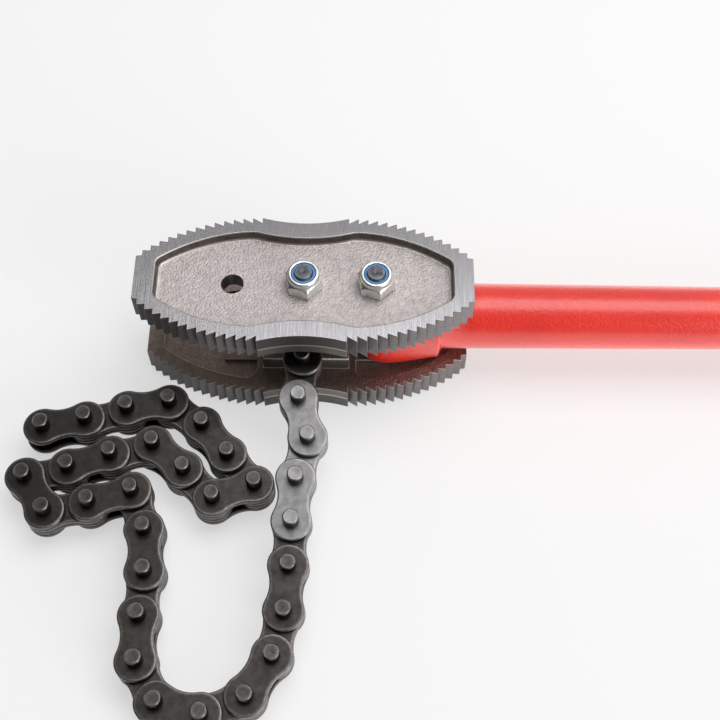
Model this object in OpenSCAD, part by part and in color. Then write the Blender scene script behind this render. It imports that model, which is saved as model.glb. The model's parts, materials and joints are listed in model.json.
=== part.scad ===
// Chain pipe wrench: two toothed jaws bolted over a bar handle, with a leaf chain that lies beside them.
// The origin is on the axis of the spare bolt hole, midway between the jaws.
// X runs along the handle, Z along the bolts. The wrench lies on the lower jaw's outer rim.

/* [Jaws] */
// Length of a jaw over its end flats
jaw_len = 188; // [176:1:204]
// Width of a jaw over its corner tips
jaw_w = 81; // [76:1:88]
// Thickness of a jaw
jaw_t = 17; // [16:0.5:20]
// Free space between the two jaws
jaw_gap = 42; // [41:0.5:48]
// Width of a jaw at the middle of its hollow waist
waist_w = 74; // [70:0.5:75]
// Length of the waist between its corner tips
waist_len = 49; // [44:1:54]
// Radius of the toothed flanks
flank_r = 108; // [104:1:120]
// Width of the flat at each jaw end
end_w = 28; // [24:1:32]
// Teeth on each flank
tooth_n = 13; // [9:1:16]
// Height of a tooth's steep face
tooth_h = 3.4; // [2:0.1:4]
// Distance of the last tooth tip from the end flat
last_tip_in = 3.3; // [2:0.1:5]
// Distance between the bolt holes of a jaw
bolt_pitch = 40; // [38:0.5:42]
// Diameter of the bolt holes
bolt_hole_d = 12.5; // [12.4:0.1:13]

/* [Jaw faces] */
// Rim left along the flanks on the outer face
rim_w = 9.3; // [8.5:0.1:10]
// Rim left at the waist on the outer face
waist_rim_w = 10; // [9.6:0.2:12]
// Rim left at the jaw ends on the outer face
end_rim_w = 11; // [8:0.5:14]
// Depth of the outer recess
recess_h = 6.5; // [6.5:0.1:7.5]
// Slope of the recess wall, in millimetres over its depth
recess_draft = 1.5; // [0:0.1:2.5]
// Rounding of the recess corners at the jaw ends
recess_r = 7; // [5:0.5:8]
// Rim left along the flanks on the inner face
inner_rim_w = 9.5; // [8:0.5:12]
// Rim left at the jaw ends on the inner face
inner_end_rim_w = 10; // [8:0.5:14]
// Depth of the inner pockets
pocket_h = 3.5; // [2:0.1:4]
// Rounding of the pocket corners
pocket_r = 7; // [4:0.5:8]
// Half length of the plateau between the inner pockets
plateau_half = 29; // [27:0.5:31]
// Half length of the island round the outer bolt holes
island_half = 48; // [46:0.5:52]
// Width of the island round the outer bolt holes
island_w = 37; // [32:1:40]
// Height of the ridges that catch the chain pins
ridge_h = 9; // [6:0.5:9.5]
// Thickness of a ridge at its foot
ridge_t = 8; // [6:0.5:9]
// Slope of a ridge's long faces, in millimetres over its height
ridge_draft = 1; // [0.5:0.1:2]
// Distance of a ridge's front face from the middle of the jaw
ridge_y = 24; // [22:0.5:24.5]
// Free width between two ridges, where the chain comes out
chain_way = 18; // [16:0.5:20]
// Half length from the middle of the jaw to a ridge's outer end
ridge_end = 25; // [22:0.5:26]

/* [Handle] */
// Overall length of the wrench from jaw end to handle end
wrench_len = 1100; // [600:10:1300]
// Diameter of the handle where it leaves the head
handle_d = 38; // [34:0.5:40]
// Diameter of the handle at its free end
handle_end_d = 28; // [24:0.5:34]
// Rounding of the free end
handle_round = 8; // [4:0.5:12]
// Width of the forged paddle between the jaws
paddle_w = 48; // [44:1:50]
// Rounding of the paddle's edges
paddle_r = 7; // [5:0.5:7.5]
// Narrowing of the paddle on each side towards its nose
nose_in = 3; // [1:0.5:5]
// Length over which the nose narrows
nose_len = 16; // [12:1:20]
// Width of the paddle where it ends on the bar
tail_w = 46; // [43:0.5:48]
// Length of the round bar that reaches in between the jaws
bar_in = 16; // [12:1:20]
// Step on each side where the paddle's round neck ends on the bar
neck_step = 0.8; // [0.4:0.1:1]

/* [Bolts] */
// Bolt shank diameter
bolt_d = 12; // [11:0.1:12.2]
// Width across flats of bolt head and nut
hex_af = 19; // [18:0.5:20]
// Height of the bolt head
head_h = 6.4; // [5:0.1:6.4]
// Height of the lock nut with its collar
nut_h = 12; // [11:0.1:14]
// Height of the nut's hexagon
nut_hex_h = 8.6; // [7:0.1:9]
// Length of the bolt end beyond the nut
bolt_over = 1.2; // [0.4:0.1:3]
// Taper of the nut's collar over its height
collar_taper = 1.2; // [0.6:0.1:1.6]
// Height of the nylon ring in the nut
insert_h = 2.4; // [1.5:0.1:3]
// Outer diameter of the nylon ring
insert_d = 14.6; // [14:0.1:15]
// Outer diameter of the distance sleeve on the chain bolt
sleeve_d = 16; // [15:0.1:17]

/* [Chain] */
// Distance between neighbouring pins
chain_pitch = 24; // [22:0.5:25]
// Distance from the chain bolt to the first pin
anchor_len = 30; // [29.5:0.5:32]
// Gap between the ends of neighbouring outer plates
link_gap = 1.7; // [1.5:0.1:2.5]
// Narrowest width of a plate, as a share of its end
plate_waist = 0.78; // [0.7:0.01:0.85]
// Thickness of a plate
plate_t = 3.2; // [2.8:0.1:3.4]
// Pin diameter
pin_d = 8; // [7:0.1:8.6]
// Pin length
pin_len = 30; // [28:0.5:31]
// Chamfer on the pin ends
pin_chamfer = 0.7; // [0.3:0.1:1]
// Outer diameter of the anchor link's eye on the chain bolt
anchor_eye_d = 27; // [26:0.5:28]
// Clearance of running parts
run_clear = 0.1; // [0.08:0.01:0.15]

/* [Hidden] */
$fn = 64;
// Clearance of pressed and threaded parts
fit_clear = 0.05;
// Overrun of cutting bodies
over = 1;

// Jaw outline, measured from the middle of the jaw
jaw_x = bolt_pitch;
corner_x = waist_len / 2;
flank_y = jaw_w / 2 - flank_r;
last_tip_a = asin((jaw_len / 2 - last_tip_in - corner_x) / flank_r);
waist_dip = (jaw_w - waist_w) / 2;
waist_r = (corner_x * corner_x + waist_dip * waist_dip) / (2 * waist_dip);
floor_z = -jaw_gap / 2 - jaw_t;

// Share of its radius at which a corner's round lies inside the walls that it joins
corner_lap = 0.99;

function flank_dx(x) = x - corner_x;
function flank_end_y(rim, x) = flank_y + sqrt(pow(flank_r - rim, 2) - pow(flank_dx(x), 2));
function flank_slope(rim, x) = asin(flank_dx(x) / (flank_r - rim));
function tip_a(i) = last_tip_a * i / tooth_n;
function tip(i) = [corner_x + flank_r * sin(tip_a(i)), flank_y + flank_r * cos(tip_a(i))];
function root(i) = tip(i) - [0, tooth_h];
function backwards(l) = [for (i = [len(l) - 1:-1:0]) l[i]];
quadrant = concat([for (i = [0:tooth_n], p = [tip(i), root(i)]) p], [[jaw_len / 2, end_w / 2]]);
outline = concat(
    quadrant,
    [for (p = backwards(quadrant)) [p[0], -p[1]]],
    [for (p = quadrant) [-p[0], -p[1]]],
    [for (p = backwards(quadrant)) [-p[0], p[1]]]
);

// Bolts
nut_z = jaw_gap / 2 + jaw_t - recess_h;
hex_d = hex_af / cos(30);
hex_turn = 42;
// Chamfer of the hexagons: its slope, and the flat circle left on a bolt head
hex_cone = tan(60);
head_face_d = 0.95 * hex_af;

// Handle
handle_end_x = jaw_x - jaw_len / 2 + wrench_len;
neck_len = 2;
neck_x = jaw_x + jaw_len / 2 - bar_in - neck_len;
neck_d = handle_d + 2 * neck_step;
bar_lap = 8;
handle_x = neck_x - bar_lap;
nose_lap = 3;
paddle_x = jaw_x + plateau_half - nose_lap;

// Lay of the chain: heading of each link seen from above, chosen so that it leaves the head,
// swings round beside it and folds up in rows. The share is how much of the chain's slope each link keeps
// on its way from the head down to the floor.
heading = [
    268, 266, 284, 256, 266, 268, 266, 258, 238, 204, 166, 120, 92, 88, 96, 112,
    197, 192, 124, 14, 20, 16, 320, 316, 20, 132, 130, 145, 190, 197, 192
];
easing = [0.75, 0.5, 0.25];
easing_start = 7;
link_n = len(heading);
// Links that are bright: the first and the one after the last
bright_from = 2;
bright_to = 5;
function share(i) = i < easing_start ? 1 : i < easing_start + len(easing) ? easing[i - easing_start] : 0;
function link_len(i) = i == 0 ? anchor_len : chain_pitch;
function total(l, i = 0) = i == len(l) ? 0 : l[i] + total(l, i + 1);

// Slope that brings the pins from the middle of the head to the floor
chain_drop = -floor_z - pin_len / 2;
chain_run = total([for (i = [0:link_n - 1]) -link_len(i) * sin(heading[i]) * share(i)]);
chain_slope = chain_drop / chain_run;
function tilt(i) = asin(chain_slope * share(i));
function across(i) = sin(heading[i]);
function step(i) = link_len(i) * [cos(heading[i]), across(i) * cos(tilt(i)), across(i) * sin(tilt(i))];
pins = [for (i = 0, p = [bolt_pitch, 0, 0]; i <= link_n; p = i < link_n ? p + step(i) : p, i = i + 1) p];

// Plates: the eyes leave room for the small tilt between neighbouring links
tilt_step = asin(chain_slope * (1 - easing[0]));
eye_d = chain_pitch - link_gap;
plate_gap = eye_d / 2 * tan(tilt_step) + run_clear;
// Radius of a plate's hollow, as a share of the one that would run smoothly into the eyes
hollow_share = 1.13;
inner_z = fit_clear;
outer_z = inner_z + plate_t + plate_gap;
body_half = outer_z + plate_t;
inner_bore_d = pin_d + 2 * ((inner_z + plate_t) * tan(tilt_step) + run_clear);
anchor_bore_d = sleeve_d + 2 * (body_half * tan(tilt(0)) + 2 * run_clear);

function two_digits(i) = i < 10 ? str("0", i) : str(i);
function is_outer(i) = i % 2 == 0;
function link_kind(i) = is_outer(i) ? "outer_link_" : "inner_link_";
function link_name(i) = i == 0 ? "anchor_link" : str(link_kind(i), two_digits(i));

// Solid left in the corner of a recess, between walls that run from point p in directions a1 and a2
module corner_fill(p, a1, a2, r, h, draft) {
    half = (a2 - a1) / 2;
    reach = corner_lap * r / sin(half);
    half_w = (corner_lap * r - draft / 2) * cos(half);
    spread = draft * over / h;
    translate([p[0], p[1], -over])
        rotate([0, 0, (a1 + a2) / 2])
            difference() {
                translate([-r, -half_w, 0])
                    cube([reach + r, 2 * half_w, h + 2 * over]);
                translate([reach, 0, -over])
                    cylinder(h = h + 4 * over, r1 = r + 2 * spread, r2 = r - draft - 2 * spread);
            }
}

// Lens bounded by the two flanks, drawn in by a rim, with rounded ends and sloping walls that narrow upwards
module flank_lens(rim, h, draft, end_x, round_r) {
    end_p = [end_x, flank_end_y(rim, end_x)];
    for (side = [0, 1])
        mirror([side, 0, 0])
            difference() {
                intersection() {
                    translate([corner_x, flank_y, 0])
                        cylinder(h = h, r1 = flank_r - rim, r2 = flank_r - rim - draft, $fn = 128);
                    translate([corner_x, -flank_y, 0])
                        cylinder(h = h, r1 = flank_r - rim, r2 = flank_r - rim - draft, $fn = 128);
                    translate([end_x, -jaw_w / 2, 0])
                        rotate([0, -atan(draft / h), 0])
                            translate([-end_x, 0, -jaw_len])
                                cube([end_x, jaw_w, 2 * jaw_len]);
                }
                for (flip = [0, 1])
                    mirror([0, flip, 0])
                        corner_fill(end_p, 180 - flank_slope(rim, end_x), 270, round_r, h, draft);
            }
}

// Recess of the outer face, from the rim down to the web
module outer_recess() {
    crown = jaw_w - 2 * rim_w - recess_draft;
    difference() {
        union() {
            flank_lens(rim_w, recess_h + over, recess_draft, jaw_len / 2 - end_rim_w, recess_r);
            translate([-corner_x, -crown / 2, 0])
                cube([2 * corner_x, crown, recess_h + over]);
        }
        for (side = [-1, 1])
            translate([0, side * (waist_w / 2 + waist_r), 0])
                cylinder(
                    h = recess_h + over,
                    r1 = waist_r + waist_rim_w,
                    r2 = waist_r + waist_rim_w + recess_draft,
                    $fn = 128
                );
    }
}

// Pockets of the inner face, which leave the plateau and the islands round the outer holes standing
module inner_pockets() {
    plateau_p = [plateau_half, flank_end_y(inner_rim_w, plateau_half)];
    plateau_a = -flank_slope(inner_rim_w, plateau_half);
    difference() {
        flank_lens(inner_rim_w, pocket_h + over, 0, jaw_len / 2 - inner_end_rim_w, pocket_r);
        translate([-plateau_half, -jaw_w / 2, 0])
            cube([2 * plateau_half, jaw_w, pocket_h + over]);
        translate([-island_half, -island_w / 2, 0])
            cube([2 * island_half, island_w, pocket_h + over]);
        for (sx = [0, 1], sy = [0, 1])
            mirror([sx, 0, 0])
                mirror([0, sy, 0])
                    corner_fill(plateau_p, -90, plateau_a, pocket_r, pocket_h + over, 0);
    }
}

// Ridge beside the way of the chain, with sloping long faces
module ridge() {
    translate([chain_way / 2, 0, 0])
        rotate([90, 0, 90])
            linear_extrude(ridge_end - chain_way / 2)
                polygon([
                    [ridge_y - ridge_t, 0],
                    [ridge_y, 0],
                    [ridge_y - ridge_draft, ridge_h],
                    [ridge_y - ridge_t + ridge_draft, ridge_h]
                ]);
}

// One jaw, outer face down: the outer rim lies at z = 0 and the inner face at z = jaw_t
module jaw() {
    difference() {
        union() {
            linear_extrude(jaw_t)
                polygon(outline);
            for (sx = [0, 1], sy = [0, 1])
                translate([0, 0, jaw_t])
                    mirror([sx, 0, 0])
                        mirror([0, sy, 0])
                            ridge();
        }
        for (side = [-1, 1])
            translate([0, side * (waist_w / 2 + waist_r), -over])
                cylinder(h = jaw_t + 2 * over, r = waist_r, $fn = 128);
        translate([0, 0, -over])
            outer_recess();
        translate([0, 0, jaw_t - pocket_h])
            inner_pockets();
        for (k = [-1:1])
            translate([k * bolt_pitch, 0, -over])
                cylinder(h = jaw_t + 2 * over, d = bolt_hole_d);
    }
}

module lower_jaw() {
    color("#a9a59f")
        translate([jaw_x, 0, floor_z])
            jaw();
}

module upper_jaw() {
    color("#a9a59f")
        translate([jaw_x, 0, -floor_z])
            mirror([0, 0, 1])
                jaw();
}

// Forged handle: a paddle with rounded edges between the jaws, and a round bar that tapers to its free end
module handle() {
    edge_z = jaw_gap / 2 - paddle_r;
    edge_y = paddle_w / 2 - paddle_r;
    tail_y = tail_w / 2 - paddle_r;
    bar_len = handle_end_x - handle_x;
    color("#e23a2a")
        difference() {
            union() {
                hull() {
                    for (sy = [-1, 1], sz = [-1, 1]) {
                        translate([paddle_x + paddle_r, sy * (edge_y - nose_in), sz * edge_z])
                            sphere(r = paddle_r, $fn = 32);
                        translate([paddle_x + paddle_r + nose_len, sy * edge_y, sz * edge_z])
                            sphere(r = paddle_r, $fn = 32);
                        translate([neck_x - paddle_r, sy * tail_y, sz * edge_z])
                            sphere(r = paddle_r, $fn = 32);
                    }
                    translate([neck_x, 0, 0])
                        rotate([0, 90, 0])
                            cylinder(h = neck_len, d = neck_d, $fn = 32);
                }
                translate([handle_x, 0, 0])
                    rotate([0, 90, 0])
                        handle_bar(bar_len);
            }
            translate([2 * bolt_pitch, 0, -jaw_gap])
                cylinder(h = 2 * jaw_gap, d = bolt_hole_d);
        }
}

// Tapered round bar along Z with a rounded free end
module handle_bar(l) {
    cylinder(h = l - handle_round, d1 = handle_d, d2 = handle_end_d);
    translate([0, 0, l - handle_round])
        rotate_extrude()
            intersection() {
                union() {
                    translate([handle_end_d / 2 - handle_round, 0])
                        circle(r = handle_round);
                    square([handle_end_d / 2 - handle_round, handle_round]);
                }
                square([handle_end_d, handle_round]);
            }
}

module hexagon(h) {
    rotate([0, 0, hex_turn])
        cylinder(h = h, d = hex_d, $fn = 6);
}

// Hexagon bolt through both jaws, head in the lower recess
module bolt(x) {
    color("#5a5a5c")
        translate([x, 0, 0]) {
            translate([0, 0, -nut_z - head_h])
                intersection() {
                    hexagon(head_h);
                    cylinder(h = head_h, d1 = head_face_d, d2 = head_face_d + 2 * head_h * hex_cone);
                }
            translate([0, 0, -nut_z])
                cylinder(h = 2 * nut_z + nut_h, d = bolt_d);
            translate([0, 0, nut_z + nut_h])
                cylinder(h = bolt_over, d1 = bolt_d, d2 = bolt_d - 2 * bolt_over);
        }
}

// Lock nut: hexagon with a round collar that holds the nylon ring
module lock_nut(x) {
    collar_d = hex_af - collar_taper;
    color("#c9c7bd")
        translate([x, 0, nut_z])
            difference() {
                union() {
                    intersection() {
                        hexagon(nut_hex_h);
                        cylinder(h = nut_hex_h, d1 = hex_af + 2 * nut_hex_h * hex_cone, d2 = hex_af);
                    }
                    translate([0, 0, nut_hex_h])
                        cylinder(h = nut_h - nut_hex_h, d1 = hex_af, d2 = collar_d);
                }
                translate([0, 0, -over])
                    cylinder(h = nut_h + 2 * over, d = bolt_d + 2 * fit_clear);
                translate([0, 0, nut_h - insert_h])
                    cylinder(h = insert_h + over, d = insert_d);
            }
}

// Nylon ring in the nut's collar
module nut_ring(x) {
    color("#2f6fc4")
        translate([x, 0, nut_z + nut_h - insert_h])
            difference() {
                cylinder(h = insert_h, d = insert_d - 2 * fit_clear);
                translate([0, 0, -over])
                    cylinder(h = insert_h + 2 * over, d = bolt_d + 2 * fit_clear);
            }
}

module chain_bolt() { bolt(bolt_pitch); }
module handle_bolt() { bolt(2 * bolt_pitch); }
module chain_nut() { lock_nut(bolt_pitch); }
module handle_nut() { lock_nut(2 * bolt_pitch); }
module chain_nut_ring() { nut_ring(bolt_pitch); }
module handle_nut_ring() { nut_ring(2 * bolt_pitch); }

// Sleeve on the chain bolt: keeps the jaws apart and carries the anchor link
module distance_sleeve() {
    color("#7d7a75")
        translate([bolt_pitch, 0, -jaw_gap / 2])
            difference() {
                cylinder(h = jaw_gap, d = sleeve_d);
                translate([0, 0, -over])
                    cylinder(h = jaw_gap + 2 * over, d = bolt_d + 4 * fit_clear);
            }
}

// Figure-eight plate of the chain: two round eyes joined by a hollow waist, bored for pins
module link_plate(bore_d) {
    eye_r = eye_d / 2;
    waist_half = eye_r * plate_waist;
    half = chain_pitch / 2;
    smooth_r = (half * half + waist_half * waist_half - eye_r * eye_r) / (2 * (eye_r - waist_half));
    hollow_r = hollow_share * smooth_r;
    bridge_half = eye_r * sin(atan2(waist_half + hollow_r, half));
    difference() {
        union() {
            for (x = [0, chain_pitch])
                translate([x, 0, 0])
                    cylinder(h = plate_t, d = eye_d);
            translate([0, -bridge_half, 0])
                cube([chain_pitch, 2 * bridge_half, plate_t]);
        }
        for (side = [-1, 1])
            translate([half, side * (waist_half + hollow_r), -over])
                cylinder(h = plate_t + 2 * over, r = hollow_r, $fn = 96);
        for (x = [0, chain_pitch])
            translate([x, 0, -over])
                cylinder(h = plate_t + 2 * over, d = bore_d);
    }
}

// Plate of the anchor link, with a large eye round the distance sleeve
module anchor_plate() {
    waist = eye_d * plate_waist;
    difference() {
        union() {
            cylinder(h = plate_t, d = anchor_eye_d);
            translate([anchor_len, 0, 0])
                cylinder(h = plate_t, d = eye_d);
            translate([0, -waist / 2, 0])
                cube([anchor_len, waist, plate_t]);
        }
        translate([0, 0, -over])
            cylinder(h = plate_t + 2 * over, d = anchor_bore_d);
        translate([anchor_len, 0, -over])
            cylinder(h = plate_t + 2 * over, d = pin_d + 2 * fit_clear);
    }
}

// Chain pin with chamfered ends
module chain_pin() {
    end_d = pin_d - 2 * pin_chamfer;
    half = pin_len / 2 - pin_chamfer;
    translate([0, 0, -half])
        cylinder(h = 2 * half, d = pin_d);
    for (side = [0, 1])
        mirror([0, 0, side])
            translate([0, 0, half])
                cylinder(h = pin_chamfer, d1 = pin_d, d2 = end_d);
}

// A pair of like plates at the same distance above and below the middle of the chain
module plate_pair(z) {
    for (side = [0, 1])
        mirror([0, 0, side])
            translate([0, 0, z])
                children();
}

// Link number i where it lies: the anchor link, or by turns an inner and an outer link
module chain_link(i) {
    color(i >= bright_from && i < bright_to ? "#8d8c8a" : "#4b4845")
        translate(pins[i])
            rotate([tilt(i), 0, 0])
                rotate([0, 0, heading[i]]) {
                    if (i == 0)
                        plate_pair(outer_z) anchor_plate();
                    else if (is_outer(i))
                        plate_pair(outer_z) link_plate(pin_d + 2 * fit_clear);
                    else
                        plate_pair(inner_z) link_plate(inner_bore_d);
                    if (is_outer(i))
                        for (x = i == 0 ? [anchor_len] : [0, chain_pitch])
                            translate([x, 0, 0])
                                chain_pin();
                }
}

lower_jaw();
upper_jaw();
handle();
chain_bolt();
handle_bolt();
chain_nut();
handle_nut();
chain_nut_ring();
handle_nut_ring();
distance_sleeve();
for (i = [0:link_n - 1])
    chain_link(i);
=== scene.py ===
import json
import math
from types import SimpleNamespace

import bmesh
import bpy
import numpy as np
from mathutils import Matrix, Vector


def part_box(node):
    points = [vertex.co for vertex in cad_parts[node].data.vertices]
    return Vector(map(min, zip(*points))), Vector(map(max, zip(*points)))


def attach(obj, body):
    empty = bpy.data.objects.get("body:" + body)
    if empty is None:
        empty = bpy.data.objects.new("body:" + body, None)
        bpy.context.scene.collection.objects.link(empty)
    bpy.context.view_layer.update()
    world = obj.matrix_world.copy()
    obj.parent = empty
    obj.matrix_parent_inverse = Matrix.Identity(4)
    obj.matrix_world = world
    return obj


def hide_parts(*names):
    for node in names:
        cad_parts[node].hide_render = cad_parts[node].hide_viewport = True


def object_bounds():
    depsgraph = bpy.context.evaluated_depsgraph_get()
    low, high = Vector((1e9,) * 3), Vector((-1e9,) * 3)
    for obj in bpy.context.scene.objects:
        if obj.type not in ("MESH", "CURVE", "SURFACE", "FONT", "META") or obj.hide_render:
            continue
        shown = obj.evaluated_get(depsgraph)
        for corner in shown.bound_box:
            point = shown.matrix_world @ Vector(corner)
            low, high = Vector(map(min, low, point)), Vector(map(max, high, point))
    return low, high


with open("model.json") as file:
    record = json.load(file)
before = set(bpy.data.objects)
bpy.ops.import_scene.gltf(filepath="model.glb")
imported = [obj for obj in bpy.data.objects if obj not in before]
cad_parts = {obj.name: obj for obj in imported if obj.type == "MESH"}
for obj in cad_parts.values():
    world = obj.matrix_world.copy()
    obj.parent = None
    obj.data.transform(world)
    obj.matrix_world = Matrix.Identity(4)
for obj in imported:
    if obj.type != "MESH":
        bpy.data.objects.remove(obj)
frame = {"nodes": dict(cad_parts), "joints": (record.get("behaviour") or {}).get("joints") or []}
cad_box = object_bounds()
MM = 0.001
WHITE = (1, 1, 1, 1)

# Sizes of the solids that the dressed pieces follow, in millimetres and degrees
FLATS, HEX_CORNER_DEG, BOLT_R = 19.0, 42.0, 6.0
CORNER_R = FLATS / 2 / math.cos(math.pi / 6)
JAW_MIDDLE_X, WAIST_HALF = 40.0, 24.0
HOLE_XS = (0.0, 40.0, 80.0)
INNER_Z, WEB_Z, OUTER_Z = 21.0, 31.5, 38.0


def srgb(r, g, b):
    """A colour given as 0-255 display values, turned into the linear values that shaders use."""
    c = np.array([r, g, b]) / 255.0
    low = c / 12.92
    high = ((c + 0.055) / 1.055) ** 2.4
    return (*np.where(c <= 0.04045, low, high).tolist(), 1.0)


def grey(value):
    return (value, value, value, 1)


def add_object(name, data):
    obj = bpy.data.objects.new(name, data)
    bpy.context.scene.collection.objects.link(obj)
    return obj


def stand_in(obj, node, body):
    """The piece takes a node's place and rides on a body."""
    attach(obj, body)
    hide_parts(node)


# Meshes from grids of points

SEAM_GAP, SLIVER = 1e-6, 1e-7


def grid_faces(rows, cols, start):
    """Quads of a grid that is closed along its columns: each row of points joins the next one."""
    r, c = np.meshgrid(np.arange(rows - 1), np.arange(cols), indexing="ij")
    nxt = (c + 1) % cols
    quads = np.stack([r * cols + c, r * cols + nxt, (r + 1) * cols + nxt, (r + 1) * cols + c], -1)
    return quads.reshape(-1, 4) + start


def piece_from_grids(name, grids, material, sharp_deg, edges=None):
    """One object from several closed grids (rows, columns, 3), in millimetres.

    Points that meet on seams and poles are merged, normals turned outwards, and edges sharper than
    the given angle stay crisp. The optional edge value of each row is kept for worn edges."""
    points, quads, values, start = [], [], [], 0
    for k, grid in enumerate(grids):
        rows, cols = grid.shape[:2]
        points.append(grid.reshape(-1, 3) * MM)
        quads.append(grid_faces(rows, cols, start))
        values.append(np.repeat(edges[k], cols) if edges else np.zeros(rows * cols))
        start += rows * cols
    mesh = bpy.data.meshes.new(name)
    mesh.from_pydata(np.concatenate(points).tolist(), [], np.concatenate(quads).tolist())
    worn = mesh.attributes.new("edge", "FLOAT", "POINT")
    worn.data.foreach_set("value", np.concatenate(values).astype(np.float32))
    bm = bmesh.new()
    bm.from_mesh(mesh)
    bmesh.ops.remove_doubles(bm, verts=bm.verts, dist=SEAM_GAP)
    bmesh.ops.dissolve_degenerate(bm, edges=bm.edges, dist=SLIVER)
    bmesh.ops.recalc_face_normals(bm, faces=bm.faces)
    bm.to_mesh(mesh)
    bm.free()
    mesh.shade_smooth()
    mesh.set_sharp_from_angle(angle=math.radians(sharp_deg))
    mesh.materials.append(material)
    return add_object(name, mesh)


def turned(profile, around, shape=None):
    """Surface of revolution about Z: a profile of (radius, height) rows carried round the axis.

    shape(angle) caps the radius at each angle, which turns a round blank into a hexagon. The first
    column stands at the hexagon's first corner, so that every corner falls on a column."""
    a = math.radians(HEX_CORNER_DEG) + np.linspace(0, 2 * np.pi, around, endpoint=False)
    rz = np.asarray(profile, float)
    radius = np.repeat(rz[:, :1], around, 1)
    if shape is not None:
        radius = np.minimum(radius, shape(a)[None])
    return np.stack([radius * np.cos(a), radius * np.sin(a), np.repeat(rz[:, 1:], around, 1)], -1)


def hexagon(a):
    """Radius of a hexagon at each angle: half the width over its flats, divided by the cosine of the
    turn from the middle of the flat."""
    sixth = np.pi / 3
    turn = np.mod(a - math.radians(HEX_CORNER_DEG), sixth) - sixth / 2
    return FLATS / 2 / np.cos(turn)


def arc(radius, middle_r, middle_z, from_deg, to_deg, steps):
    """Points of an arc about a middle, between two angles in degrees, for round corners of a profile."""
    a = np.radians(np.linspace(from_deg, to_deg, steps))
    return np.stack([middle_r + radius * np.cos(a), middle_z + radius * np.sin(a)], 1)


# Shader nodes

class Graph:
    """Small helper that adds nodes to a tree and joins them by socket name."""

    def __init__(self, tree):
        self.tree = tree

    def put(self, value, socket):
        """Joins another node's output to a socket, or sets a plain value on it."""
        if isinstance(value, bpy.types.NodeSocket):
            self.tree.links.new(value, socket)
        else:
            socket.default_value = value

    def put_all(self, node, **sockets):
        """Puts values on a node's named sockets, with _ for a space in a name."""
        for key, value in sockets.items():
            self.put(value, node.inputs[key.replace("_", " ")])

    def add(self, kind, inputs=None, **props):
        node = self.tree.nodes.new(kind)
        for key, value in props.items():
            setattr(node, key, value)
        for key, value in (inputs or {}).items():
            self.put(value, node.inputs[key])
        return node

    def group(self, tree, **values):
        node = self.add("ShaderNodeGroup", node_tree=tree)
        self.put_all(node, **values)
        return node.outputs

    def math(self, op, a, b=0.0):
        return self.add("ShaderNodeMath", {0: a, 1: b}, operation=op).outputs[0]

    def times(self, first, *others):
        """Product of masks and values."""
        for other in others:
            first = self.math("MULTIPLY", first, other)
        return first

    def ramp(self, value, low, high, to_low=0.0, to_high=1.0):
        """Value that runs from to_low to to_high while the given one runs from low to high."""
        limits = {"From Min": low, "From Max": high, "To Min": to_low, "To Max": to_high}
        return self.add("ShaderNodeMapRange", {"Value": value, **limits}).outputs[0]

    def spread(self, tone, to_low=0.0, to_high=1.0):
        """Ramp for a noise tone, which seldom leaves the range from 0.3 to 0.7."""
        return self.ramp(tone, 0.3, 0.7, to_low, to_high)

    def mix(self, factor, a, b):
        """Mix of two colours, which are the node's sockets 6 and 7."""
        inputs = {"Factor": factor, 6: a, 7: b}
        return self.add("ShaderNodeMix", inputs, data_type="RGBA").outputs[2]

    def blend(self, factor, a, b):
        """Mix of two values."""
        inputs = {"Factor": factor, "A": a, "B": b}
        return self.add("ShaderNodeMix", inputs, data_type="FLOAT").outputs[0]

    def noise(self, vector, scale, detail, rough):
        inputs = {"Vector": vector, "Scale": scale, "Detail": detail, "Roughness": rough}
        return self.add("ShaderNodeTexNoise", inputs).outputs["Fac"]

    def scaled(self, vector, factors):
        return self.add("ShaderNodeVectorMath", {0: vector, 1: factors}, operation="MULTIPLY").outputs[0]

    def split(self, vector):
        return self.add("ShaderNodeSeparateXYZ", {0: vector}).outputs

    def coordinates(self, kind):
        return self.add("ShaderNodeTexCoord").outputs[kind]

    def place(self):
        """Place on the piece, in millimetres."""
        return self.scaled(self.coordinates("Object"), (1 / MM, 1 / MM, 1 / MM))

    def bump(self, height, strength, distance, **under):
        inputs = {"Height": height, "Strength": strength, "Distance": distance, **under}
        return self.add("ShaderNodeBump", inputs).outputs[0]


def new_group(name, values_in, values_out):
    """Node group that takes the place on a piece and named values, and puts out named values."""
    tree = bpy.data.node_groups.new(name, "ShaderNodeTree")
    tree.interface.new_socket("Place", in_out="INPUT", socket_type="NodeSocketVector")
    for label in values_in:
        tree.interface.new_socket(label, in_out="INPUT", socket_type="NodeSocketFloat")
    for label in values_out:
        tree.interface.new_socket(label, in_out="OUTPUT", socket_type="NodeSocketFloat")
    given = tree.nodes.new("NodeGroupInput").outputs
    result = tree.nodes.new("NodeGroupOutput")
    return tree, Graph(tree), given, result


def make_uneven_finish():
    """Uneven finish: a broad cloud and a fine grain, mixed to a tone from 0 to 1 and a height for bump."""
    tree, g, given, result = new_group("uneven_finish", ["Broad", "Fine"], ["Tone", "Height"])
    broad = g.noise(given["Place"], given["Broad"], detail=5.0, rough=0.6)
    fine = g.noise(given["Place"], given["Fine"], detail=3.0, rough=0.65)
    g.put_all(result, Tone=g.blend(0.42, broad, fine), Height=g.blend(0.7, broad, fine))
    return tree


def make_ground_lines():
    """Grinding marks: noise drawn out along Y, in a coarse and a fine layer."""
    tree, g, given, result = new_group("ground_lines", [], ["Tone", "Height"])
    coarse = g.noise(g.scaled(given["Place"], (1.6, 0.035, 0.1)), scale=1.0, detail=3.0, rough=0.6)
    fine = g.noise(g.scaled(given["Place"], (5.5, 0.06, 0.1)), scale=1.0, detail=2.0, rough=0.5)
    g.put_all(result, Tone=g.blend(0.55, coarse, fine), Height=fine)
    return tree


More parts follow.
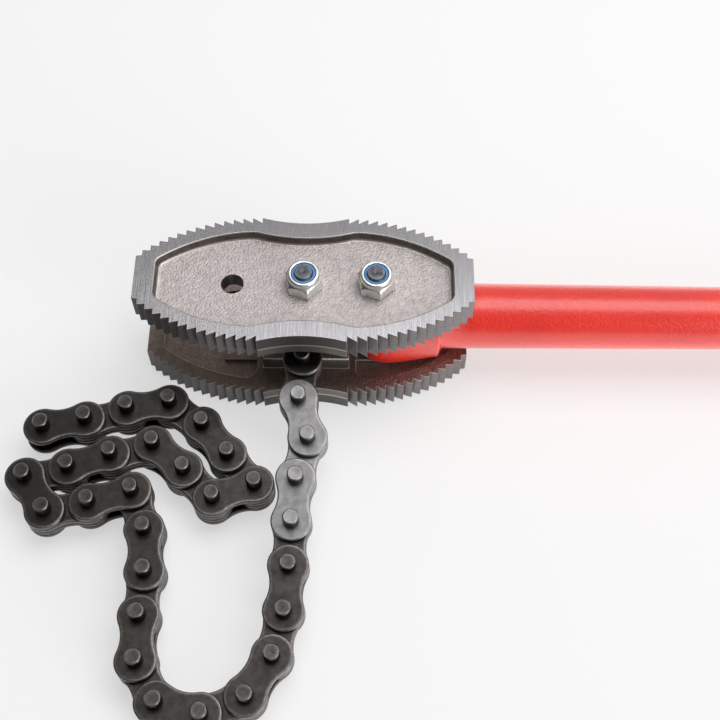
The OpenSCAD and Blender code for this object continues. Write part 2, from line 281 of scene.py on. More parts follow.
def make_worn_edge():
    """Bare metal on edges: the piece's own edge value, broken up by noise."""
    tree, g, given, result = new_group("worn_edge", ["Edge", "Size"], ["Mask"])
    patch = g.noise(given["Place"], given["Size"], detail=4.0, rough=0.6)
    broken = g.times(given["Edge"], g.ramp(patch, 0.28, 0.62, 0.6, 1.0))
    g.put_all(result, Mask=g.ramp(broken, 0.15, 0.85))
    return tree


uneven_finish = make_uneven_finish()
ground_lines = make_ground_lines()
worn_edge = make_worn_edge()


# Materials: levels in millimetres, depths of bump in metres

RIM_Z, WAIST_LINE_Z = 37.6, 28.0
ZONE_SOFT = 0.2
CAST_DEPTH, CUT_DEPTH, SKIN_DEPTH, PEEL_DEPTH = 0.00105, 0.0004, 0.0006, 0.0009


def new_material(name):
    """Material with a Principled shader, and the helper for its nodes."""
    m = bpy.data.materials.new(name)
    m.use_nodes = True
    return m, Graph(m.node_tree), m.node_tree.nodes["Principled BSDF"]


def jaw_zones(g, place):
    """Masks of a jaw's faces, from the height over the middle plane and from which way a face looks."""
    x, y, z = g.split(place)
    nx, ny, nz = g.split(g.coordinates("Normal"))
    height = g.math("ABSOLUTE", z)
    squarely = g.math("ABSOLUTE", nz)
    from_middle = g.math("SUBTRACT", x, JAW_MIDDLE_X)
    aside = g.math("ABSOLUTE", from_middle)
    outward = g.math("ADD", g.times(nx, from_middle), g.times(ny, y))

    def reaches(level):
        """Mask of what stands at a level or above it."""
        return g.ramp(height, level - 2 * ZONE_SOFT, level - ZONE_SOFT / 2)

    flat = g.ramp(squarely, 0.6, 0.85)
    sloped = g.math("SUBTRACT", 1.0, flat)
    eased = g.times(g.ramp(squarely, 0.12, 0.4), g.ramp(squarely, 0.99, 0.88))
    looks_in = g.ramp(g.times(nz, z), 0.0, -4.0)
    recessed = g.times(reaches(WEB_Z), g.ramp(outward, 1.0, -1.0))
    raised = g.ramp(height, INNER_Z + 1.0, INNER_Z + 0.5)
    return SimpleNamespace(
        height=height,
        sloped=sloped,
        raised=raised,
        rim=g.times(flat, g.ramp(height, RIM_Z, RIM_Z + ZONE_SOFT)),
        rim_edge_highlight=g.times(eased, recessed, reaches(RIM_Z)),
        web=g.times(flat, g.ramp(height, RIM_Z, RIM_Z - ZONE_SOFT), reaches(WEB_Z)),
        wall=g.times(recessed, sloped),
        inner=g.times(flat, looks_in),
        inner_edge_highlight=g.times(eased, looks_in, raised),
        waist=g.times(sloped, g.ramp(aside, WAIST_HALF + ZONE_SOFT, WAIST_HALF - ZONE_SOFT)),
    )


def waist_colour(g, height, cuts):
    """Hollow waist: steel that is darker outside a line at WAIST_LINE_Z, cut marks, and a pale line
    painted along it as a highlight.
    """
    outside = g.ramp(height, WAIST_LINE_Z - 0.3, WAIST_LINE_Z + 0.3)
    from_line = g.math("ABSOLUTE", g.math("SUBTRACT", height, WAIST_LINE_Z))
    tone = g.mix(outside, srgb(112, 108, 105), srgb(80, 76, 74))
    tone = g.mix(g.ramp(cuts, 0.35, 0.75, 0.0, 0.5), tone, srgb(150, 146, 142))
    # Painted highlight: a pale line along WAIST_LINE_Z on the waist face.
    return g.mix(g.ramp(from_line, 0.9, 0.1, 0.0, 0.9), tone, srgb(216, 212, 206))


def make_jaw_steel():
    """Forged steel jaw: ground rim, blasted web, dark recess walls with a painted highlight at their foot,
    cut tooth faces, oiled inner faces, and painted highlights along the eased edges of the recess and of
    the inner pockets."""
    m, g, shader = new_material("jaw_steel")
    place = g.place()
    zone = jaw_zones(g, place)
    cast = g.group(uneven_finish, Place=place, Broad=0.25, Fine=1.15)
    lines = g.group(ground_lines, Place=place)
    cuts = g.noise(g.scaled(place, (0.8, 0.8, 5.0)), scale=1.0, detail=3.0, rough=0.6)

    side_tone = g.mix(g.ramp(cuts, 0.3, 0.72), srgb(98, 94, 94), srgb(150, 145, 145))
    rim_tone = g.mix(g.ramp(lines["Tone"], 0.32, 0.68), srgb(131, 129, 132), srgb(164, 162, 165))
    web_tone = g.mix(g.spread(cast["Tone"]), srgb(168, 159, 158), srgb(213, 205, 203))
    wall_tone = g.mix(g.spread(cast["Tone"]), srgb(72, 67, 63), srgb(112, 106, 101))
    # Painted highlight: the lowest 2.4 mm of the recess wall is painted pale, where light would catch the
    # fillet at the foot.
    foot = g.ramp(zone.height, WEB_Z + 2.4, WEB_Z + 0.7, 0.0, 0.9)
    wall_tone = g.mix(foot, wall_tone, srgb(216, 209, 203))
    inner_tone = g.mix(g.spread(cast["Tone"]), srgb(128, 114, 106), srgb(174, 160, 150))
    inner_tone = g.mix(g.times(zone.raised, 0.4), inner_tone, srgb(88, 77, 71))

    colour = g.mix(zone.waist, side_tone, waist_colour(g, zone.height, cuts))
    colour = g.mix(zone.inner, colour, inner_tone)
    # Painted highlight: a pale tone on the eased edges of the inner faces and pockets.
    colour = g.mix(zone.inner_edge_highlight, colour, srgb(218, 208, 199))
    colour = g.mix(zone.wall, colour, wall_tone)
    colour = g.mix(zone.web, colour, web_tone)
    colour = g.mix(zone.rim, colour, rim_tone)
    # Painted highlight: a pale tone on the eased top edge of the recess.
    colour = g.mix(zone.rim_edge_highlight, colour, srgb(178, 174, 170))
    rough = g.blend(zone.web, g.blend(zone.inner, 0.42, 0.5), 0.56)
    rough = g.blend(zone.rim, rough, g.spread(lines["Tone"], 0.29, 0.21))

    rough_face = g.math("MAXIMUM", zone.web, g.times(zone.inner, 0.7))
    dents = g.noise(place, scale=0.8, detail=2.0, rough=0.5)
    peened = g.blend(0.25, dents, cast["Height"])
    cast_bump = g.bump(g.times(peened, rough_face), strength=1.0, distance=CAST_DEPTH)
    marks = g.math("ADD", g.times(lines["Height"], zone.rim), g.times(cuts, zone.sloped))
    g.put_all(shader, Base_Color=colour, Roughness=rough, Metallic=g.blend(zone.web, 0.95, 0.55),
              Normal=g.bump(marks, strength=0.22, distance=CUT_DEPTH, Normal=cast_bump))
    return m


def make_red_paint():
    """Powder coat: strong red under a gloss skin, with the fine orange peel that cured powder leaves."""
    m, g, shader = new_material("red_paint")
    place = g.place()
    peel = g.noise(place, scale=0.62, detail=3.0, rough=0.5)
    fine = g.noise(place, scale=1.7, detail=2.0, rough=0.5)
    cloud = g.noise(place, scale=0.03, detail=3.0, rough=0.5)
    colour = g.mix(g.spread(cloud), srgb(216, 34, 18), srgb(228, 43, 25))
    g.put_all(shader, Base_Color=colour, Roughness=g.spread(fine, 0.26, 0.36),
              Normal=g.bump(g.blend(0.35, peel, fine), strength=0.5, distance=PEEL_DEPTH),
              Coat_Weight=0.6, Coat_Roughness=0.22)
    return m


def make_plain_steel(name, dark, light, worn, smooth, dull, broad=0.22, fine=1.6, relief=0.12):
    """Steel with a cloudy surface, from dark and dull to light and smooth, and brighter worn edges."""
    m, g, shader = new_material(name)
    place = g.place()
    skin = g.group(uneven_finish, Place=place, Broad=broad, Fine=fine)
    edge = g.add("ShaderNodeAttribute", attribute_name="edge").outputs["Fac"]
    bare = g.group(worn_edge, Place=place, Edge=edge, Size=0.5)["Mask"]
    colour = g.mix(g.spread(skin["Tone"]), dark, light)
    g.put_all(shader, Base_Color=g.mix(bare, colour, worn), Metallic=1.0,
              Roughness=g.spread(skin["Tone"], dull, smooth),
              Normal=g.bump(skin["Height"], strength=relief, distance=SKIN_DEPTH))
    return m


def make_nylon():
    """Blue nylon of the locking ring: slightly clouded, waxy plastic."""
    m, g, shader = new_material("nylon")
    skin = g.group(uneven_finish, Place=g.place(), Broad=0.5, Fine=2.5)
    colour = g.mix(g.spread(skin["Tone"]), srgb(48, 106, 166), srgb(88, 150, 204))
    g.put_all(shader, Base_Color=colour, Roughness=g.spread(skin["Tone"], 0.5, 0.36))
    return m


jaw_steel = make_jaw_steel()
red_paint = make_red_paint()
zinc = make_plain_steel(
    "zinc", srgb(216, 216, 212), srgb(234, 234, 230), srgb(240, 240, 236),
    smooth=0.28, dull=0.36, broad=0.3, fine=0.7, relief=0.0)
bolt_steel = make_plain_steel(
    "bolt_steel", srgb(58, 58, 62), srgb(108, 108, 113), srgb(140, 140, 146),
    smooth=0.34, dull=0.5, broad=0.5, fine=1.4, relief=0.5)
chain_steel = make_plain_steel(
    "chain_steel", srgb(43, 41, 39), srgb(66, 63, 61), srgb(134, 131, 129), smooth=0.3, dull=0.46)
# Painted light: a lighter copy of the chain steel for the links that the light falls on.
chain_bright = make_plain_steel(
    "chain_bright", srgb(89, 88, 88), srgb(121, 120, 120), srgb(150, 148, 147), smooth=0.32, dull=0.44)
nylon = make_nylon()


# Jaws: the solid with its sharp edges eased, bevels and gaps in metres, the rest in millimetres

FOOT_FILLET, SHOULDER_ROUND = 0.0018, 0.0026
RIDGE_SHARE, POCKET_SHARE, EASED_SHARE = 0.5, 0.3, 0.14
SHARP = math.radians(30)
SAME_LEVEL, RIDGE_DROP, HOLE_CLEAR = 0.05, 0.5, 7.0
RECESS_OVAL, POCKET_OVAL = (92.0, 36.0), (88.0, 34.5)
SHOULDER_RISE, SHOULDER_NEAR = 2.0, 6.0
SHOULDER_Y_LOW, SHOULDER_Y_HIGH = 25.0, 35.0
SHOULDER_TURN_LOW, SHOULDER_TURN_HIGH = math.radians(12), math.radians(50)
MERGE_GAP, FLAT_ANGLE = 2e-6, math.radians(0.6)


def ends_of(edge):
    """The two ends of an edge, in millimetres."""
    return [np.array(v.co) / MM for v in edge.verts]


def at_level(ends, level):
    """Whether both ends of an edge lie this far from the middle plane."""
    return all(abs(abs(end[2]) - level) < SAME_LEVEL for end in ends)


def in_oval(point, oval):
    """Whether a point lies in an ellipse about the jaw's middle, given by its two half widths."""
    return ((point[0] - JAW_MIDDLE_X) / oval[0]) ** 2 + (point[1] / oval[1]) ** 2 < 1


def bevel_share(edge):
    """Share of the fillet's width that an edge gets: all at the recess foot, half on the ridges, less on
    the edges of the recess and the pockets, and little elsewhere."""
    if len(edge.link_faces) != 2 or edge.calc_face_angle() < SHARP:
        return 0.0
    a, b = ends_of(edge)
    mid = (a + b) / 2
    off_holes = min(math.hypot(a[0] - x, a[1]) for x in HOLE_XS) > HOLE_CLEAR
    if off_holes and at_level((a, b), WEB_Z):
        return 1.0
    if min(abs(a[2]), abs(b[2])) < INNER_Z - RIDGE_DROP:
        return RIDGE_SHARE
    on_recess = at_level((a, b), OUTER_Z) and in_oval(mid, RECESS_OVAL)
    on_pocket = at_level((a, b), INNER_Z) and in_oval(mid, POCKET_OVAL) and off_holes
    return POCKET_SHARE if on_recess or on_pocket else EASED_SHARE


def at_recess_shoulder(edge):
    """Whether an edge stands in the recess wall where the flank's curve meets the waist's."""
    if len(edge.link_faces) != 2:
        return False
    a, b = ends_of(edge)
    mid = np.abs((a + b) / 2 - [JAW_MIDDLE_X, 0, 0])
    tall = abs(a[2] - b[2]) > SHOULDER_RISE and mid[2] > WEB_Z
    near = abs(mid[0] - WAIST_HALF) < SHOULDER_NEAR and SHOULDER_Y_LOW < mid[1] < SHOULDER_Y_HIGH
    return tall and near and SHOULDER_TURN_LOW < edge.calc_face_angle() < SHOULDER_TURN_HIGH


def make_jaw(node):
    """Copy of a jaw's solid: its edges are eased by a narrow bevel, the shoulders of the recess are
    rounded, and a fillet runs along the foot of the recess."""
    mesh = frame["nodes"][node].data.copy()
    mesh.name = node + "_eased"
    bm = bmesh.new()
    bm.from_mesh(mesh)
    bmesh.ops.remove_doubles(bm, verts=bm.verts, dist=MERGE_GAP)
    bmesh.ops.dissolve_limit(bm, angle_limit=FLAT_ANGLE, verts=bm.verts, edges=bm.edges)
    shoulders = [e for e in bm.edges if at_recess_shoulder(e)]
    bmesh.ops.bevel(bm, geom=shoulders, offset=SHOULDER_ROUND, segments=6, profile=0.5, affect="EDGES",
                    clamp_overlap=True)
    weight = bm.edges.layers.float.new("bevel_weight_edge")
    for e in bm.edges:
        e[weight] = bevel_share(e)
    bm.to_mesh(mesh)
    bm.free()
    mesh.materials.clear()
    mesh.materials.append(jaw_steel)
    mesh.shade_smooth()
    obj = add_object(node + "_eased", mesh)
    bevel = obj.modifiers.new("eased", "BEVEL")
    bevel.width = FOOT_FILLET
    bevel.segments = 3
    bevel.limit_method = "WEIGHT"
    bevel.use_clamp_overlap = False
    weighted = obj.modifiers.new("flat_faces", "WEIGHTED_NORMAL")
    weighted.keep_sharp = False
    stand_in(obj, node, "head")


for jaw in ("lower_jaw", "upper_jaw"):
    make_jaw(jaw)


# Bolts and lock nuts: profiles of (radius, height) rows, in millimetres

BORE_PLAY, NUT_H = 0.05, 12.0
NUT_BORE = BOLT_R + BORE_PLAY
COLLAR_R, COLLAR_ROUND = 8.75, 1.2
LIP_R, LIP_ROUND = 6.6, 0.8
RING_SEAT_R, RING_SEAT_Z = 7.25, 9.6
RING_R, RING_TOP_R, RING_ROUND, RING_ROUND_Z = 7.2, 6.55, 0.35, 1.6
HEAD_H, BOLT_END_R, BOLT_TIP_R, TIP_ROUND = 6.4, 5.1, 4.7, 0.2
THREAD_LOW, THREAD_HIGH, THREAD_STEP, THREAD_DEPTH = 2.6, 1.0, 0.44, 0.3
RING_HOLE = BOLT_END_R + BORE_PLAY
WORN_TIP_ROWS = slice(-9, -4)


def axis_and_ends(node):
    """Place of a turned piece's axis along X, its foot and its top, in millimetres."""
    lo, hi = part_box(node)
    return ((lo + hi) / 2 / MM).x, (lo / MM).z, (hi / MM).z


def place_grid(grid, x, z=0.0):
    return grid + np.array([x, 0.0, z])


def make_lock_nut(node):
    """Lock nut: a hexagon capped by a cone, then a round collar that is rolled in over the nylon ring."""
    x, foot = axis_and_ends(node)[:2]
    profile = np.vstack([
        [[NUT_BORE, 0.0], [8.9, 0.0], [9.3, 0.15], [CORNER_R, 1.2], [CORNER_R, 7.2]],
        [[9.9, 8.2], [9.5, 8.6], [9.0, 9.0], [8.8, 9.5], [COLLAR_R, 10.6]],
        arc(COLLAR_ROUND, COLLAR_R - COLLAR_ROUND, NUT_H - COLLAR_ROUND, 0, 90, steps=7),
        arc(LIP_ROUND, LIP_R + LIP_ROUND, NUT_H - LIP_ROUND, 90, 180, steps=6),
        [[RING_SEAT_R, 11.1], [RING_SEAT_R, RING_SEAT_Z], [NUT_BORE, RING_SEAT_Z]],
    ])
    worn = np.interp(np.arange(len(profile)), [0, 3, 6, 9, 20], [0.1, 0.5, 0.7, 0.4, 0.2])
    grid = turned(np.vstack([profile, profile[:1]]), around=96, shape=hexagon)
    obj = piece_from_grids(node + "_shaped", [place_grid(grid, x, foot)], zinc, sharp_deg=28.0,
                           edges=[np.append(worn, worn[0])])
    stand_in(obj, node, "head")


def make_lock_ring(node):
    """Nylon ring: a turned band with rounded top edges, narrower where it hugs the bolt's end."""
    x, foot = axis_and_ends(node)[:2]
    profile = np.vstack([
        [[NUT_BORE, 0.0], [RING_R, 0.0], [RING_R, 1.3], [RING_TOP_R, 1.45]],
        arc(RING_ROUND, RING_TOP_R - RING_ROUND, RING_ROUND_Z, 0, 90, steps=5),
        arc(RING_ROUND, RING_HOLE + RING_ROUND, RING_ROUND_Z, 90, 180, steps=5),
        [[RING_HOLE, 1.2], [NUT_BORE, 1.0], [NUT_BORE, 0.0]],
    ])
    grid = place_grid(turned(profile, around=64), x, foot)
    obj = piece_from_grids(node + "_shaped", [grid], nylon, sharp_deg=40.0)
    stand_in(obj, node, "head")


def make_bolt(node):
    """Hexagon bolt: chamfered head, plain shank, and a thread end that is turned down, with a chamfer
    and a shallow dimple."""
    x, foot, top = axis_and_ends(node)
    seat = foot + HEAD_H
    thread_z = np.arange(top - THREAD_LOW, top - THREAD_HIGH, THREAD_STEP)
    thread_r = BOLT_END_R - THREAD_DEPTH * (np.arange(len(thread_z)) % 2)
    profile = np.vstack([
        [[0.0, foot], [8.5, foot], [9.05, foot + 0.1], [CORNER_R, foot + 1.3]],
        [[CORNER_R, seat - 0.2], [CORNER_R - 0.3, seat], [BOLT_R, seat]],
        [[BOLT_R, top - 3.0], [BOLT_END_R, top - 2.75]],
        np.stack([thread_r, thread_z], 1),
        [[4.95, top - 0.7], [4.75, top - 0.35], [BOLT_TIP_R, top - TIP_ROUND]],
        arc(TIP_ROUND, BOLT_TIP_R - TIP_ROUND, top - TIP_ROUND, 0, 90, steps=4),
        [[1.6, top], [1.2, top - 0.06], [0.7, top - 0.2], [0.0, top - 0.25]],
    ])
    worn = np.zeros(len(profile))
    worn[WORN_TIP_ROWS] = 0.5
    grid = place_grid(turned(profile, around=72, shape=hexagon), x)
    obj = piece_from_grids(node + "_shaped", [grid], bolt_steel, sharp_deg=30.0, edges=[worn])
    stand_in(obj, node, "head")


for nut in ("chain_nut", "handle_nut"):
    make_lock_nut(nut)
    make_lock_ring(nut + "_ring")
for bolt in ("chain_bolt", "handle_bolt"):
    make_bolt(bolt)
sleeve = frame["nodes"]["distance_sleeve"].data
sleeve.materials.clear()
sleeve.materials.append(bolt_steel)


# Handle: sizes in millimetres, lengths counted from its front end

NOSE_LONG, NOSE_DEEP, END_R = 19.0, 9.0, 8.0
SHOULDER_AT, NECK_AT, BAR_AT = 23.0, 49.5, 52.5
PADDLE_Y, NECK_LESS_Y = 24.0, 1.6
PADDLE_Z, NECK_LESS_Z = 21.0, 0.7
BAR_R, BAR_TAPER = 19.0, 5.0
ROUND_POWER, NECK_MORE_POWER, PADDLE_MORE_POWER = 2.0, 0.9, 2.1


def ease(t):
    """Smooth step from 0 to 1: three t squared less two t cubed."""
    t = np.clip(t, 0, 1)
    return t * t * (3 - 2 * t)


def handle_stations(front, end):
    """Places along X: closest at the tips of the round nose and end, evenly apart on paddle and bar."""
    nose = front + NOSE_LONG * (1 - np.cos(np.radians(np.linspace(0, 90, 26))))
    paddle = np.linspace(front + NOSE_LONG, front + BAR_AT, 44)
    bar = np.linspace(front + BAR_AT, end - END_R, 60)
    tip = end - END_R + END_R * np.sin(np.radians(np.linspace(0, 90, 12)))
    return np.concatenate([nose, paddle[1:], bar[1:], tip[1:]])


def handle_sections(x, front, end):
    """Half width, half height and power of the section at each place along X.

    Width and height run from the paddle's to the bar's over a short step. Arcs round off the nose,
    seen from above and from the side, and the far end."""
    neck, bar = front + NECK_AT, front + BAR_AT
    round_y = np.sqrt(1 - np.clip((front + NOSE_LONG - x) / NOSE_LONG, 0, 1) ** 2)
    nose_in = NOSE_DEEP - np.sqrt(NOSE_DEEP ** 2 - np.clip(front + NOSE_DEEP - x, 0, NOSE_DEEP) ** 2)
    past_end = np.maximum(x - (end - END_R), 0)
    end_in = END_R - np.sqrt(np.maximum(END_R ** 2 - past_end ** 2, 0))
    bar_r = BAR_R - BAR_TAPER * np.clip((x - bar) / (end - bar), 0, 1)
    to_neck = np.clip((x - front - SHOULDER_AT) / (NECK_AT - SHOULDER_AT), 0, 1)
    step = ease((x - neck) / (bar - neck))
    paddle_y = (PADDLE_Y - NECK_LESS_Y * to_neck) * round_y
    paddle_z = PADDLE_Z - NECK_LESS_Z * ease(to_neck)
    half_y = paddle_y + (bar_r - paddle_y) * step - end_in
    half_z = paddle_z + (bar_r - paddle_z) * step - nose_in - end_in
    boxy = NECK_MORE_POWER + PADDLE_MORE_POWER * (1 - ease(to_neck))
    return half_y, half_z, ROUND_POWER + boxy * (1 - step)


def make_handle():
    """Forged handle: a cross-section that is a rounded oblong in the paddle and a circle in the bar.

    At each place along X the section is |y/a|^n + |z/b|^n = 1, with half widths a and b and a power n
    that falls from a boxy value in the paddle to 2 in the bar."""
    lo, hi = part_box("handle")
    front, end = lo.x / MM, hi.x / MM
    x = handle_stations(front, end)
    a, b, power = handle_sections(x, front, end)
    phi = np.linspace(0, 2 * np.pi, 96, endpoint=False)
    c, s, e = np.cos(phi)[None], np.sin(phi)[None], (2 / power)[:, None]
    grid = np.stack([
        np.repeat(x[:, None], len(phi), 1),
        a[:, None] * np.sign(c) * np.abs(c) ** e,
        b[:, None] * np.sign(s) * np.abs(s) ** e,
    ], -1)
    closed = np.concatenate([grid, grid[-1:] * [1, 0, 0]])
    obj = piece_from_grids("handle_forged", [closed], red_paint, sharp_deg=50.0)
    stand_in(obj, "handle", "head")


make_handle()


# Chain: sizes in millimetres

PLATE_T, PLATE_EDGE, PLATE_GAP, MIDDLE_GAP = 3.2, 0.8, 0.42, 0.05
EYE_R, ANCHOR_EYE_R, WAIST_SHARE = 11.15, 13.5, 0.78
PIN_R, PIN_HALF = 4.4, 15.0
FACE_INSETS, EDGE_STEPS, PLATE_STATIONS = (3.4, 1.5), 5, 52
LEVEL_FALL = 1e-6
# Links that take the lighter copy of the chain steel, painted as lit.
PAINTED_LIT_LINKS = range(2, 5)


def plate_outline(r0, r1, length, waist):
    """Half width of a plate along its length: a round eye at each end, and between them a waist, which
    is the arc of an outside circle that touches both eyes."""
    t = np.linspace(0, 1, PLATE_STATIONS)
    x = -r0 + (length + r0 + r1) * (1 - np.cos(np.pi * t)) / 2
    eye0 = np.sqrt(np.maximum(r0 ** 2 - x ** 2, 0))
    eye1 = np.sqrt(np.maximum(r1 ** 2 - (x - length) ** 2, 0))
    half = length / 2
    r = (r0 + r1) / 2
    side = (half ** 2 + waist ** 2 - r ** 2) / (2 * (r - waist))
    hollow = waist + side - np.sqrt(np.maximum(side ** 2 - (x - half) ** 2, 0))
    meet = half * side / (r + side)
    return x, np.where(np.abs(x - half) < meet, hollow, np.maximum(eye0, eye1))


def plate_grid(r0, r1, length, waist, z0, z1):
    """Plate: its outline carried from the middle of the top face over a rounded edge, down the side,
    over the lower edge and back to the middle. The rows' edge values for wear come with it."""
    x, y = plate_outline(r0, r1, length, waist)
    x, y = np.concatenate([x, x[-2:0:-1]]), np.concatenate([y, -y[-2:0:-1]])
    dx, dy = np.gradient(x), np.gradient(y)
    dx[0], dy[0] = 0.0, 1.0
    size = np.hypot(dx, dy)
    nx, ny = dy / size, -dx / size
    a = np.radians(np.linspace(90, 0, EDGE_STEPS))
    cut, drop = PLATE_EDGE * (1 - np.cos(a)), PLATE_EDGE * (1 - np.sin(a))
    inset = np.concatenate([FACE_INSETS, cut, cut[::-1], FACE_INSETS[::-1]])[:, None]
    level = np.concatenate([[z1, z1], z1 - drop, z0 + drop[::-1], [z0, z0]])[:, None]
    rows = np.stack([x[None] + nx[None] * inset, y[None] + ny[None] * inset,
                     np.repeat(level, len(x), 1)], -1)
    spine = np.stack([np.clip(x, 0, length), np.zeros_like(x), np.full_like(x, z1)], -1)[None]
    under = spine - [0, 0, z1 - z0]
    upper_edge, lower_edge = np.linspace(0.55, 0.85, EDGE_STEPS), np.linspace(0.5, 0.3, EDGE_STEPS)
    worn = np.concatenate([[0.0, 0.0, 0.25], upper_edge, lower_edge, [0.1, 0.0, 0.0]])
    return np.concatenate([spine, rows, under]), worn


def pin_grid(x):
    """Chain pin: a turned bar whose ends have a chamfer and a slightly hollow face."""
    half = np.vstack([
        [[0.0, PIN_HALF - 0.1], [2.4, PIN_HALF - 0.06], [PIN_R - 0.75, PIN_HALF]],
        arc(0.25, PIN_R - 0.7, PIN_HALF - 0.25, 80, 45, steps=3),
        [[PIN_R - 0.08, PIN_HALF - 0.65], [PIN_R, PIN_HALF - 0.9]],
    ])
    profile = np.vstack([half, half[::-1] * [1, -1]])
    worn = np.array([0.26, 0.26, 0.42, 0.85, 0.9, 0.75, 0.4, 0.08])
    return place_grid(turned(profile, around=40), x), np.concatenate([worn, worn[::-1]])


def link_axes(start, end):
    """Axes of a link, as rows: along it, across it, and up, which is tipped about X by the link's fall
    over its run across."""
    along = (end - start) / np.linalg.norm(end - start)
    tip = math.atan2(along[2], along[1]) if abs(along[2]) > LEVEL_FALL else 0.0
    if abs(tip) > math.pi / 2:
        tip -= math.copysign(math.pi, tip)
    up = np.array([0.0, -math.sin(tip), math.cos(tip)])
    return np.stack([along, np.cross(up, along), up])


def make_link(name, start, end, outer, anchor, bright):
    """Link: two plates, further apart and with pins where it is an outer link. The anchor link's first
    eye is larger and has no pin, because it sits on the sleeve."""
    length = float(np.linalg.norm(end - start))
    z0 = MIDDLE_GAP + (PLATE_T + PLATE_GAP if outer else 0.0)
    first_eye = ANCHOR_EYE_R if anchor else EYE_R
    plate, worn = plate_grid(first_eye, EYE_R, length, EYE_R * WAIST_SHARE, z0, z0 + PLATE_T)
    grids, edges = [plate, plate * [1, 1, -1]], [worn, worn]
    if outer:
        for x in ([length] if anchor else [0.0, length]):
            pin, pin_worn = pin_grid(x)
            grids.append(pin)
            edges.append(pin_worn)
    axes = link_axes(start, end)
    link = piece_from_grids(name + "_dressed", [grid @ axes + start for grid in grids],
                            # Links marked bright take the lighter, painted-lit copy of the chain steel.
                            chain_bright if bright else chain_steel, sharp_deg=30.0, edges=edges)
    stand_in(link, name, name)


pins = [np.array(joint["pos_m"]) / MM for joint in frame["joints"]]
names = [joint["child"] for joint in frame["joints"]]
last_lo, last_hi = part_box(names[-1])
last_middle = np.array((last_lo + last_hi) / 2) / MM
pins.append(2 * last_middle - pins[-1])
for i, name in enumerate(names):
    make_link(name, pins[i], pins[i + 1], outer=i % 2 == 0, anchor=i == 0, bright=i in PAINTED_LIT_LINKS)


# Stage, light and camera: sizes in metres where no name says millimetres

FLOOR_HALF, FLOOR_GAP = 4.0, 0.0004
FLOOR_GREY, FAR_GREY, CARD_WHITE = 0.36, 0.02, 0.93
FLOOR_LIFT, ROOM_WHITE = 0.56, 0.96
FADE_MIDDLE, FADE_FROM, FADE_TO = (0.5, -0.1, 0.0), 0.95, 1.7
# Where the floor's right half glows and how strongly: painted reflection for glossy rays, painted light
# for diffuse rays.
PAINTED_GLOW_FROM, PAINTED_GLOW_TO = 0.03, 0.17
SHINE_LOW, SHINE_HIGH, BOUNCE_HIGH = 0.14, 0.56, 0.48
PITCH, YAW, ROLL = math.radians(60.77), math.radians(-0.56), math.radians(0.08)
CAMERA_MM, LENS_MM, SENSOR_MM = (74.7, -366.9, 602.0), 60.9, 36.0


def make_floor_paper():
    """Pale paper that shows the camera some light of its own, so that little more than the shadow is grey.

    Its right half also glows for glossy and diffuse rays, a painted reflection and painted light that
    stand in for a white sheet laid there. Far from the wrench it fades into the white of the room, so that
    no edge of the floor is seen."""
    m, g, shader = new_material("floor_paper")
    path = g.add("ShaderNodeLightPath").outputs
    spot = g.coordinates("Object")
    from_middle = g.add("ShaderNodeVectorMath", {0: spot, 1: FADE_MIDDLE}, operation="DISTANCE")
    far = g.ramp(from_middle.outputs["Value"], FADE_FROM, FADE_TO)
    across = g.split(spot)[0]
    # Painted reflection (shine) and painted light (bounce) from the floor's right half, which is no lamp.
    shine = g.ramp(across, PAINTED_GLOW_FROM, PAINTED_GLOW_TO, SHINE_LOW, SHINE_HIGH)
    bounce = g.ramp(across, PAINTED_GLOW_FROM, PAINTED_GLOW_TO, 0.0, BOUNCE_HIGH)
    lift = g.times(path["Is Camera Ray"], g.blend(far, FLOOR_LIFT, ROOM_WHITE - FAR_GREY))
    painted_glow = g.math("ADD", g.times(path["Is Glossy Ray"], shine), g.times(path["Is Diffuse Ray"], bounce))
    seen = g.mix(far, grey(FLOOR_GREY), grey(FAR_GREY))
    g.put_all(shader, Base_Color=g.mix(path["Is Camera Ray"], grey(CARD_WHITE), seen),
              Emission_Color=WHITE, Emission_Strength=g.math("ADD", lift, painted_glow),
              Roughness=0.9, Specular_IOR_Level=0.0)
    return m


def make_floor():
    """Flat floor just under the wrench."""
    z = cad_box[0][2] - FLOOR_GAP
    corners = np.array([[-1, -1, 0], [1, -1, 0], [1, 1, 0], [-1, 1, 0]]) * FLOOR_HALF + [0, 0, z]
    mesh = bpy.data.meshes.new("floor")
    mesh.from_pydata(corners.tolist(), [], [[0, 1, 2, 3]])
    mesh.materials.append(make_floor_paper())
    add_object("floor", mesh)


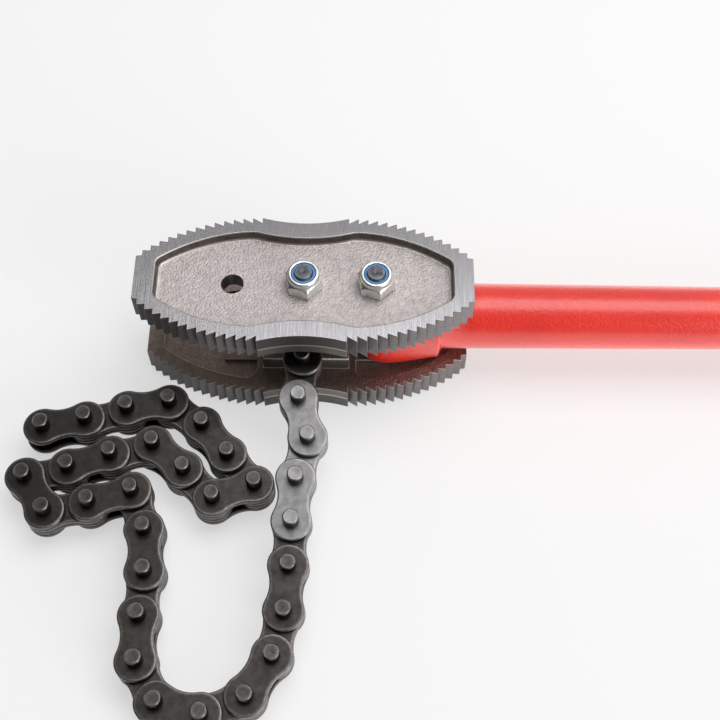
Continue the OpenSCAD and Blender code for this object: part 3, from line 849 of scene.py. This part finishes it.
def soft_light(name, place, target, size, power):
    """Oblong lamp at a place, turned to a target."""
    lamp = bpy.data.lights.new(name, "AREA")
    lamp.shape = "RECTANGLE"
    lamp.size, lamp.size_y = size
    lamp.energy = power
    obj = add_object(name, lamp)
    obj.location = place
    obj.rotation_euler = (Vector(target) - Vector(place)).to_track_quat("-Z", "Y").to_euler()


def make_world():
    """Studio room: dim pale walls for light and reflections, lighter to the right and behind, and white
    where the camera looks straight at them."""
    world = bpy.data.worlds.new("studio")
    world.use_nodes = True
    g = Graph(world.node_tree)
    across, behind = g.split(g.coordinates("Generated"))[:2]
    walls = g.math("ADD", g.ramp(across, -0.7, 0.7, 0.04, 0.66), g.ramp(behind, -0.2, 0.8, 0.0, 0.22))
    walls = g.times(walls, g.ramp(behind, -0.8, 0.1, 0.5, 1.0))
    seen = g.add("ShaderNodeLightPath").outputs["Is Camera Ray"]
    g.put_all(world.node_tree.nodes["Background"], Color=WHITE, Strength=g.blend(seen, walls, ROOM_WHITE))
    bpy.context.scene.world = world


def make_camera():
    """Camera at the photograph's viewing angle: turned by its yaw, tipped down by its pitch, then rolled
    about its own line of sight."""
    data = bpy.data.cameras.new("camera")
    data.sensor_width = SENSOR_MM
    data.lens = LENS_MM
    data.clip_start = 0.01
    level = math.cos(PITCH)
    ahead = Vector((math.sin(YAW) * level, math.cos(YAW) * level, -math.sin(PITCH)))
    right = ahead.cross(Vector((0, 0, 1))).normalized()
    above = right.cross(ahead)
    rolled_right = right * math.cos(ROLL) + above * math.sin(ROLL)
    rolled_above = above * math.cos(ROLL) - right * math.sin(ROLL)
    turn = Matrix((rolled_right, rolled_above, -ahead)).transposed().to_4x4()
    turn.translation = Vector(CAMERA_MM) * MM
    camera = add_object("camera", data)
    camera.matrix_world = turn
    bpy.context.scene.camera = camera


make_floor()
soft_light("top_box", place=(0.48, 0.27, 1.25), target=(0.48, 0.27, 0), size=(1.4, 0.92), power=13.5)
soft_light("right_box", place=(2.2, -1.87, 1.0), target=(0.1, -0.03, 0), size=(1.4, 1.8), power=45.0)
make_world()
make_camera()
bpy.context.scene.view_settings.view_transform = "Standard"
